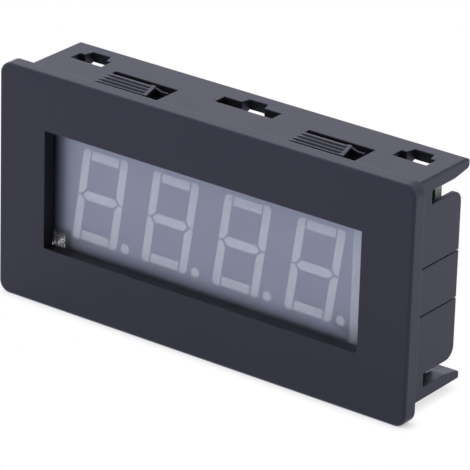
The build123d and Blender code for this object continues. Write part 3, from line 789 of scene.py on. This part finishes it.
def tin_material():
    """Tin plating, shared by all leads, caps and pins."""
    return bpy.data.materials.get("tin_plating") or metal_material(
        "tin_plating", (0.7, 0.69, 0.66, 1.0), roughness=0.34, size=0.12 * MM, relief=0.003 * MM
    )


def finish_nodes(material, *names):
    """Give CAD nodes their material."""
    for name in names:
        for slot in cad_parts[name].material_slots:
            slot.material = material


def finish_piece(piece, material, body):
    """Give a new piece its material and the body that it rides on."""
    piece.data.materials.append(material)
    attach(piece, body)


# Operators


class METER_OT_case(bpy.types.Operator):
    """Finish the moulded case in fine-grained black plastic"""

    bl_idname = "panel_meter.case"
    bl_label = "Case"

    def execute(self, context):
        look = context.scene.meter_case
        material = moulded_material(
            "case_plastic",
            look.colour,
            look.roughness,
            look.grain,
            shade=0.5,
            spread=0.1,
            relief=FINE_RELIEF,
            IOR=1.59,
            Specular_Tint=look.sheen,
        )
        tree = material.node_tree
        soft = add_node(tree, "ShaderNodeBevel", {"samples": EDGE_SAMPLES}, {"Radius": look.edge})
        tree.links.new(soft.outputs["Normal"], tree.nodes["Bump"].inputs["Normal"])
        finish_nodes(material, "case")
        return {"FINISHED"}


class METER_OT_film(bpy.types.Operator):
    """Lay the satin film behind the window"""

    bl_idname = "panel_meter.film"
    bl_label = "Window Film"

    def execute(self, context):
        look = context.scene.meter_window
        rear = FILM_HIGH - np.array([0, FILM_AIR, 0])
        film = surface_piece("satin_film", rounded_sheet(FILM_LOW, rear, FILM_EDGE))
        material, tree, shader = new_material("satin_film", {"Metallic": 1.0})
        satin = grain(
            tree, look.film_colour, look.film_roughness, size=0.08 * MM, shade=0.06, spread=0.05, broad=120.0
        )
        tree.links.new(satin["Roughness"], shader.inputs["Roughness"])
        # Painted shade: the walls of the window mirror the haze dimmer than the camera sees it, so the sill
        # under the film looks dark
        mirrored = add_node(tree, "ShaderNodeLightPath").outputs["Is Glossy Ray"]
        haze = blend(tree, mirrored, satin["Colour"], look.painted_shade_film_reflection)
        tree.links.new(haze, shader.inputs["Base Color"])
        depth = axes_of(tree, object_place(tree))["Y"]
        behind = math_node(tree, "GREATER_THAN", depth, (FILM_FRONT + rear[1]) / 2)
        gain = look.rear_cover - look.front_cover
        cover = math_node(tree, "MULTIPLY_ADD", behind, gain, look.front_cover)
        tree.links.new(cover, shader.inputs["Alpha"])
        finish_piece(film, material, "meter")
        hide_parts("window_film")
        return {"FINISHED"}


class METER_OT_film_glow_and_dust(bpy.types.Operator):
    """Set grey flakes of painted light in the corner of the film, for the light that comes through it from
    behind, and a few specks of dust on it
    """

    bl_idname = "panel_meter.film_marks"
    bl_label = "Film Marks"

    def execute(self, context):
        draw = np.random.default_rng(PAINTED_GLOW_SEED)
        spread = draw.random((PAINTED_GLOW_FLAKES, 2)) ** PAINTED_GLOW_CROWDING
        places = PAINTED_GLOW_CORNER + spread * PAINTED_GLOW_SIZE
        radii = draw.uniform(*PAINTED_GLOW_RADIUS, PAINTED_GLOW_FLAKES)
        # Painted light: the grey flakes stand for the speckled light that comes through the film's corner
        # from behind
        glow_flakes = surface_piece("painted_glow_flakes", domes(places, radii, PAINTED_GLOW_HEIGHT * radii, FILM_FRONT))
        glow_grey = moulded_material(
            "painted_glow_grey", (0.12, 0.115, 0.12, 1.0), roughness=0.5, size=0.06 * MM, shade=5.0, broad=3500.0
        )
        finish_piece(glow_flakes, glow_grey, "meter")
        places, radii = SPECKS[:, :2], SPECKS[:, 2]
        specks = surface_piece("film_specks", domes(places, radii, SPECK_HEIGHT * radii, FILM_FRONT))
        dust = moulded_material(
            "pale_dust", (0.3, 0.31, 0.36, 1.0), roughness=0.6, size=0.05 * MM, shade=0.5
        )
        finish_piece(specks, dust, "meter")
        return {"FINISHED"}


class METER_OT_display(bpy.types.Operator):
    """Finish the digit display: body, printed face, resin bars and points, and pins"""

    bl_idname = "panel_meter.display"
    bl_label = "Display"

    def execute(self, context):
        look = context.scene.meter_window
        body = moulded_material(
            "display_body", look.body_colour, roughness=0.5, size=0.15 * MM, shade=0.12
        )
        finish_nodes(body, "display_shell")
        face = moulded_material(
            "display_print", look.face_colour, roughness=0.62, size=0.09 * MM, shade=0.12, broad=300.0
        )
        finish_nodes(face, "display_face")
        resin = moulded_material(
            "segment_resin", look.segment_colour, roughness=0.35, size=0.3 * MM, shade=0.14, broad=600.0
        )
        finish_nodes(resin, "display_segments", "display_points")
        finish_nodes(tin_material(), "display_pins")
        return {"FINISHED"}


class METER_OT_packing(bpy.types.Operator):
    """Set the pale packing strip between the display and the right end of the window"""

    bl_idname = "panel_meter.packing"
    bl_label = "Packing Strip"

    def execute(self, context):
        look = context.scene.meter_window
        display_low, display_high = (np.array(corner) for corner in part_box("display_shell"))
        left = display_high[0] + PACKING_GAP
        low = np.array([left, FILM_HIGH[1], display_low[2]])
        high = np.array([left + PACKING_WIDTH, FILM_HIGH[1] + PACKING_DEPTH, display_high[2]])
        strip = surface_piece("packing_strip", rounded_sheet(low, high, PACKING_EDGE))
        foam = moulded_material(
            "pale_foam",
            look.packing_colour,
            roughness=0.8,
            size=0.2 * MM,
            shade=0.25,
            relief=0.03 * MM,
            broad=900.0,
        )
        finish_piece(strip, foam, "meter")
        return {"FINISHED"}


class METER_OT_board(bpy.types.Operator):
    """Finish the circuit board: lacquered weave, sawn glass-fibre edge, tracks and printed marks"""

    bl_idname = "panel_meter.board"
    bl_label = "Circuit Board"

    def board_material(self, name, colour, look):
        """Green lacquer over a woven board, and pale layered fibre where the board is sawn."""
        material, tree, shader = new_material(name, {"IOR": 1.5})
        skin = grain(tree, colour, roughness=0.3, size=0.3 * MM, shade=0.35, spread=0.12, broad=150.0)
        fibre = grain(
            tree, look.fibre_colour, roughness=0.7, size=0.1 * MM, shade=0.5, spread=0.2, broad=2500.0
        )
        sides = group(tree, "facing", facing_group).outputs["Sides"]
        colours = blend(tree, sides, skin["Colour"], fibre["Colour"])
        tree.links.new(colours, shader.inputs["Base Color"])
        rough = blend(tree, sides, skin["Roughness"], fibre["Roughness"], "FLOAT")
        tree.links.new(rough, shader.inputs["Roughness"])
        place = object_place(tree)
        threads = [
            add_node(tree, "ShaderNodeTexWave", {"bands_direction": direction}, WEAVE)
            for direction in ("X", "Z")
        ]
        for thread in threads:
            tree.links.new(place, thread.inputs["Vector"])
        cloth = math_node(tree, "MULTIPLY", *(thread.outputs["Fac"] for thread in threads))
        add_bump(tree, shader, cloth, WEAVE_RELIEF)
        return material

    def lead_ends(self, node, outward):
        """Middles, in x, and outer and inner ends, in z, of the leads on one side of a chip.

        The side is the upper one where outward is 1 and the lower one where it is -1. The leads go from
        left to right.
        """
        low, high = solid_boxes(node)
        middle = (low[:, 2].min() + high[:, 2].max()) / 2
        chosen = np.sign((low[:, 2] + high[:, 2]) / 2 - middle) == outward
        order = np.argsort(low[chosen, 0])
        x = ((low[chosen, 0] + high[chosen, 0]) / 2)[order]
        outer = (high if outward > 0 else low)[chosen, 2][order]
        inner = (low if outward > 0 else high)[chosen, 2][order]
        return x, outer, inner

    def header_feet(self):
        """Upper ends of the header's feet, in x and z, from left to right."""
        low, high = solid_boxes("header_pins")
        order = np.argsort(low[:, 0])
        return np.stack([(low[order, 0] + high[order, 0]) / 2, high[order, 2]], axis=1)

    def routes(self):
        """Paths of the signal tracks.

        They run from the controller to the lower display pins, from the driver to the upper ones, and
        from the header to the controller.
        """
        low, high = solid_boxes("display_pins")
        pins = (low + high)[:, [0, 2]] / 2
        pins = pins[np.argsort(-pins[:, 0])]
        lower = pins[pins[:, 1] < 0]
        upper = pins[pins[:, 1] > 0]
        count = len(lower)
        step = np.arange(count)
        x, tip, _ = self.lead_ends("controller_leads", -1)
        left_leads = np.stack([x[:2], tip[:2]], axis=1)
        start = np.stack([x[::-1][:count], tip[::-1][:count]], axis=1)
        level = start[:, 1] - CONTROLLER_RUN - CONTROLLER_STEP * step
        from_controller = dog_legs(start, lower, level)
        x, _, inner = self.lead_ends("driver_leads", 1)
        start = np.stack([x[:count], inner[:count]], axis=1)
        level = start[:, 1] - DRIVER_RUN - DRIVER_STEP * step
        from_driver = dog_legs(start, upper, level)
        feet = self.header_feet()[:2]
        from_header = dog_legs(feet, left_leads, feet[:, 1] + HEADER_RUNS)
        return np.concatenate([from_controller, from_driver, from_header])

    def supply_route(self):
        """Path of the wide supply track, from the last header foot to the tantalum block.

        It rises from the foot, passes the end of the header, and goes on at the level of the block.
        """
        foot = self.header_feet()[-1]
        low, high = solid_boxes("tantalum_ends")
        end = np.array([low[:, 0].min(), (low[0, 2] + high[0, 2]) / 2])
        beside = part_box("input_header")[1][0] + SUPPLY_CLEARANCE
        above = foot[1] + SUPPLY_RISE
        return np.array([[foot, [foot[0], above], [beside, above], [beside, end[1]], end]])

    def end_marks(self):
        """Short printed lines beside the left and right ends of the larger parts."""
        boxes = np.array([[list(corner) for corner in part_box(name)] for name in MARKED_PARTS])
        low, high = boxes[:, 0], boxes[:, 1]
        x = np.concatenate([low[:, 0] - PRINT_MARGIN, high[:, 0] + PRINT_MARGIN])
        bottom = np.tile(low[:, 2], 2)
        top = np.tile(high[:, 2], 2)
        return np.stack([np.stack([x, bottom], axis=1), np.stack([x, top], axis=1)], axis=1)

    def execute(self, context):
        look = context.scene.meter_board
        lacquer = self.board_material("board_lacquer", look.mask_colour, look)
        finish_nodes(lacquer, "circuit_board")
        lighter = tuple(min(1.0, COPPER_LIGHTENING * value) for value in look.mask_colour[:3]) + (1.0,)
        over_copper = self.board_material("lacquer_over_copper", lighter, look)
        routes = self.routes()
        widths = np.full(len(routes), look.track_width)
        tracks = surface_piece("signal_tracks", strips(routes, widths, look.track_height))
        widths = np.array([look.power_width])
        supply = surface_piece("supply_track", strips(self.supply_route(), widths, look.track_height))
        for piece in (tracks, supply):
            finish_piece(piece, over_copper, "meter")
        marks = self.end_marks()
        widths = np.full(len(marks), PRINT_WIDTH)
        printed = surface_piece("printed_marks", strips(marks, widths, PRINT_HEIGHT))
        ink = moulded_material(
            "white_ink", (0.75, 0.75, 0.72, 1.0), roughness=0.55, size=0.1 * MM, shade=0.2, broad=800.0
        )
        finish_piece(printed, ink, "meter")
        return {"FINISHED"}


class METER_OT_solder(bpy.types.Operator):
    """Solder the display pins and every lead, cap and foot to the board"""

    bl_idname = "panel_meter.solder"
    bl_label = "Solder"

    def pads(self):
        """Lowest and highest corners, in x and z, of the pads under leads, caps and feet."""
        lows = []
        highs = []
        for node in (*LEADS, "header_pins"):
            low, high = solid_boxes(node)
            middle = (low[:, 2].min() + high[:, 2].max()) / 2
            upward = (low[:, 2] + high[:, 2]) / 2 > middle
            if node == "header_pins":
                upward[:] = True
            if node == "regulator_leads":
                upward[:] = False
            foot = np.where(upward, high[:, 2] - FOOT_LENGTH, low[:, 2])
            lows.append(np.stack([low[:, 0], foot], axis=1))
            highs.append(np.stack([high[:, 0], foot + FOOT_LENGTH], axis=1))
        for node in (*CAPS, "trimmer_ends"):
            low, high = solid_boxes(node)
            lows.append(low[:, [0, 2]])
            highs.append(high[:, [0, 2]])
        return np.concatenate(lows) - PAD_MARGIN, np.concatenate(highs) + PAD_MARGIN

    def execute(self, context):
        look = context.scene.meter_board
        low, high = solid_boxes("display_pins")
        places = (low + high)[:, [0, 2]] / 2
        half_diagonal = math.hypot(*((high - low)[0, [0, 2]] / 2))
        joint_low, joint_high = solid_boxes("solder_joints")
        foot = (joint_high - joint_low)[0, 0] / 2
        height = (joint_high - joint_low)[0, 1]
        tip = half_diagonal + PIN_TIP_MARGIN
        cones = surface_piece("pin_solder", pin_fillets(places, foot, tip, height))
        finish_piece(cones, solder_material(), "meter")
        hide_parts("solder_joints")
        mounds = surface_piece("pad_solder", solder_mounds(*self.pads(), look.pad_height))
        finish_piece(mounds, solder_material(), "meter")
        return {"FINISHED"}


class METER_OT_chips(bpy.types.Operator):
    """Finish the chips, transistors and regulator, and their leads"""

    bl_idname = "panel_meter.chips"
    bl_label = "Chips"

    def execute(self, context):
        epoxy = moulded_material(
            "chip_epoxy", (0.022, 0.022, 0.024, 1.0), roughness=0.55, size=0.07 * MM, shade=0.5
        )
        finish_nodes(epoxy, "controller_chip", "driver_chip", "digit_transistors", "voltage_regulator")
        finish_nodes(tin_material(), *LEADS)
        return {"FINISHED"}


class METER_OT_passives(bpy.types.Operator):
    """Finish the resistors and capacitors, and their caps and terminals"""

    bl_idname = "panel_meter.passives"
    bl_label = "Resistors and Capacitors"

    def coloured_part(self, tree, shader, skin, mask, colour):
        """Join a grained skin to a shader, with a second colour where a mask says."""
        colours = blend(tree, mask, skin["Colour"], colour)
        tree.links.new(colours, shader.inputs["Base Color"])
        tree.links.new(skin["Roughness"], shader.inputs["Roughness"])
        add_bump(tree, shader, skin["Height"], FINE_RELIEF)

    def resistor_material(self):
        """Black glaze on the rear face and white alumina at the sides."""
        material, tree, shader = new_material("resistor_glaze", {"Coat Weight": 0.3})
        alumina = grain(
            tree, (0.8, 0.79, 0.75, 1.0), roughness=0.4, size=0.1 * MM, shade=0.2, spread=0.15, broad=1500.0
        )
        rear = group(tree, "facing", facing_group).outputs["Rear"]
        self.coloured_part(tree, shader, alumina, rear, (0.012, 0.012, 0.014, 1.0))
        return material

    def tantalum_material(self):
        """Yellow moulded resin with a brown band at the positive end."""
        material, tree, shader = new_material("tantalum_resin", {})
        resin = grain(
            tree, (0.7, 0.42, 0.06, 1.0), roughness=0.45, size=0.12 * MM, shade=0.25, spread=0.15, broad=700.0
        )
        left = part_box("tantalum_capacitor")[0][0]
        band = math_node(tree, "LESS_THAN", axes_of(tree, object_place(tree))["X"], left + BAND_WIDTH)
        self.coloured_part(tree, shader, resin, band, (0.2, 0.07, 0.02, 1.0))
        return material

    def execute(self, context):
        finish_nodes(self.resistor_material(), "chip_resistors")
        ceramic = moulded_material(
            "tan_ceramic", (0.4, 0.27, 0.16, 1.0), roughness=0.42, size=0.08 * MM, shade=0.35, broad=900.0
        )
        finish_nodes(ceramic, "chip_capacitors")
        finish_nodes(self.tantalum_material(), "tantalum_capacitor")
        finish_nodes(tin_material(), *CAPS)
        return {"FINISHED"}


class METER_OT_trimmer(bpy.types.Operator):
    """Finish the calibration trimmer and its rotor"""

    bl_idname = "panel_meter.trimmer"
    bl_label = "Trimmer"

    def execute(self, context):
        blue = moulded_material("trimmer_blue", (0.03, 0.12, 0.42, 1.0), roughness=0.4, size=0.1 * MM)
        finish_nodes(blue, "trimmer_body")
        white = moulded_material(
            "rotor_white", (0.8, 0.79, 0.74, 1.0), roughness=0.42, size=0.1 * MM, shade=0.12
        )
        finish_nodes(white, "trimmer_rotor")
        finish_nodes(tin_material(), "trimmer_ends")
        return {"FINISHED"}


class METER_OT_header(bpy.types.Operator):
    """Finish the input header and its pins"""

    bl_idname = "panel_meter.header"
    bl_label = "Input Header"

    def execute(self, context):
        nylon = moulded_material(
            "header_nylon", (0.8, 0.78, 0.7, 1.0), roughness=0.4, size=0.15 * MM, shade=0.12, broad=250.0
        )
        finish_nodes(nylon, "input_header")
        finish_nodes(tin_material(), "header_pins")
        return {"FINISHED"}


class METER_OT_stage(bpy.types.Operator):
    """Set up the pale floor, the soft light and the camera"""

    bl_idname = "panel_meter.stage"
    bl_label = "Stage"

    def ray_masks(self, tree):
        """One for rays from glossy surfaces and through clear ones, and one for these and the camera's."""
        rays = add_node(tree, "ShaderNodeLightPath").outputs
        mirrored = math_node(tree, "MAXIMUM", rays["Is Glossy Ray"], rays["Is Transmission Ray"])
        return mirrored, math_node(tree, "MAXIMUM", rays["Is Camera Ray"], mirrored)

    def bare_tree(self, owner, output):
        """Emptied node tree of a material or a world, and the surface socket of its new output."""
        owner.use_nodes = True
        tree = owner.node_tree
        tree.nodes.clear()
        return tree, tree.nodes.new(output).inputs["Surface"]

    def mix_shaders(self, tree, share, first, second, surface):
        """Lead two shaders, mixed by a share, to a surface socket."""
        mix = tree.nodes.new("ShaderNodeMixShader")
        tree.links.new(share, mix.inputs["Fac"])
        tree.links.new(first.outputs[0], mix.inputs[1])
        tree.links.new(second.outputs[0], mix.inputs[2])
        tree.links.new(mix.outputs[0], surface)

    def floor(self, look):
        """Pale floor, white to the camera but for a shade at the foot, and partly lit paper as mirrored."""
        corners = [(-1, -1), (1, -1), (1, 1), (-1, 1)]
        points = [(FLOOR_HALF * x, FLOOR_HALF * y, FLOOR_LEVEL) for x, y in corners]
        mesh = bpy.data.meshes.new("floor")
        mesh.from_pydata(points, [], [(0, 1, 2, 3)])
        floor = bpy.data.objects.new("floor", mesh)
        bpy.context.scene.collection.objects.link(floor)
        material = bpy.data.materials.new("floor_paper")
        tree, surface = self.bare_tree(material, "ShaderNodeOutputMaterial")
        mirrored, seen = self.ray_masks(tree)
        glow = add_node(tree, "ShaderNodeEmission", values={"Strength": 1.0})
        tree.links.new(blend(tree, mirrored, WHITE, look.mirrored_colour), glow.inputs["Color"])
        paper = add_node(tree, "ShaderNodeBsdfDiffuse", values={"Color": PAPER})
        near = add_node(
            tree, "ShaderNodeAmbientOcclusion", {"samples": EDGE_SAMPLES}, {"Distance": look.contact}
        )
        closed = math_node(tree, "SUBTRACT", 1.0, near.outputs["AO"])
        shade = math_node(tree, "MULTIPLY", closed, look.contact_shade)
        kept = blend(tree, mirrored, shade, look.shadow, "FLOAT")
        share = blend(tree, seen, 1.0, kept, "FLOAT")
        self.mix_shaders(tree, share, glow, paper, surface)
        mesh.materials.append(material)

    def world(self, scene, look):
        """Even daylight, white where it is seen or mirrored."""
        world = bpy.data.worlds.new("studio")
        tree, surface = self.bare_tree(world, "ShaderNodeOutputWorld")
        mirrored, seen = self.ray_masks(tree)
        white = add_node(tree, "ShaderNodeBackground", values={"Strength": 1.0})
        tree.links.new(blend(tree, mirrored, WHITE, look.mirrored_colour), white.inputs["Color"])
        soft = add_node(
            tree, "ShaderNodeBackground", values={"Color": WHITE, "Strength": look.daylight}
        )
        self.mix_shaders(tree, seen, soft, white, surface)
        scene.world = world

    def lamp(self, name, power, place):
        """Large soft lamp that looks at the meter and is not mirrored in it."""
        light = bpy.data.lights.new(name, "AREA")
        light.shape = "DISK"
        light.size = LAMP_SIZE
        light.energy = power
        lamp = bpy.data.objects.new(name, light)
        bpy.context.scene.collection.objects.link(lamp)
        lamp.visible_glossy = False
        away = np.array(place)
        lamp.location = away
        forward = -away / np.linalg.norm(away)
        side = np.cross(forward, [0, 0, 1])
        side = side / np.linalg.norm(side)
        axes = np.stack([side, np.cross(side, forward), -forward], axis=1)
        lamp.rotation_euler = Matrix(axes.tolist()).to_euler()

    def camera(self, scene, look):
        """Camera from its angles: back along the line of sight, then rolled, then set aside and above."""
        turn, rise = look.azimuth, look.elevation
        back = np.array([math.sin(turn) * math.cos(rise), -math.cos(turn) * math.cos(rise), math.sin(rise)])
        right = np.cross([0, 0, 1], back)
        right = right / np.linalg.norm(right)
        up = np.cross(back, right)
        cos_roll, sin_roll = math.cos(look.roll), math.sin(look.roll)
        right, up = cos_roll * right - sin_roll * up, sin_roll * right + cos_roll * up
        data = bpy.data.cameras.new("camera")
        data.lens = look.lens
        data.sensor_width = SENSOR_WIDTH
        data.clip_start = NEAR_CLIP
        data.clip_end = FAR_CLIP
        camera = bpy.data.objects.new("camera", data)
        scene.collection.objects.link(camera)
        place = look.aside * right + look.above * up + look.distance * back
        axes = np.stack([right, up, back], axis=1)
        matrix = Matrix(axes.tolist()).to_4x4()
        matrix.translation = place.tolist()
        camera.matrix_world = matrix
        scene.camera = camera

    def execute(self, context):
        scene = context.scene
        look = scene.meter_stage
        scene.view_settings.view_transform = "Standard"
        self.floor(look)
        self.world(scene, look)
        self.lamp("key_light", look.key_power, KEY_PLACE)
        self.lamp("fill_light", look.fill_power, FILL_PLACE)
        self.camera(scene, look)
        return {"FINISHED"}


PIECES = (
    METER_OT_stage,
    METER_OT_case,
    METER_OT_film,
    METER_OT_film_glow_and_dust,
    METER_OT_display,
    METER_OT_packing,
    METER_OT_board,
    METER_OT_solder,
    METER_OT_chips,
    METER_OT_passives,
    METER_OT_trimmer,
    METER_OT_header,
)


class METER_PT_sidebar(bpy.types.Panel):
    """Settings and steps of the panel meter's finish"""

    bl_idname = "METER_PT_sidebar"
    bl_label = "Panel Meter"
    bl_space_type = "VIEW_3D"
    bl_region_type = "UI"
    bl_category = "Panel Meter"

    def draw(self, context):
        layout = self.layout
        for name, settings in LOOKS.items():
            box = layout.box()
            for setting in settings.__annotations__:
                box.prop(getattr(context.scene, name), setting)
        for step in PIECES:
            layout.operator(step.bl_idname)


LOOKS = {
    "meter_case": CaseLook,
    "meter_window": WindowLook,
    "meter_board": BoardLook,
    "meter_stage": StageLook,
}


def register():
    """Register the settings, the steps and the panel."""
    for name, settings in LOOKS.items():
        bpy.utils.register_class(settings)
        setattr(bpy.types.Scene, name, PointerProperty(type=settings))
    for step in PIECES:
        bpy.utils.register_class(step)
    bpy.utils.register_class(METER_PT_sidebar)


def unregister():
    """Take the panel, the steps and the settings away again."""
    bpy.utils.unregister_class(METER_PT_sidebar)
    for step in reversed(PIECES):
        bpy.utils.unregister_class(step)
    for name, settings in reversed(LOOKS.items()):
        delattr(bpy.types.Scene, name)
        bpy.utils.unregister_class(settings)


def main():
    """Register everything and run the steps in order."""
    register()
    steps = bpy.ops.panel_meter
    steps.stage()
    steps.case()
    steps.film()
    steps.film_marks()
    steps.display()
    steps.packing()
    steps.board()
    steps.solder()
    steps.chips()
    steps.passives()
    steps.trimmer()
    steps.header()


if __name__ == "__main__":
    main()
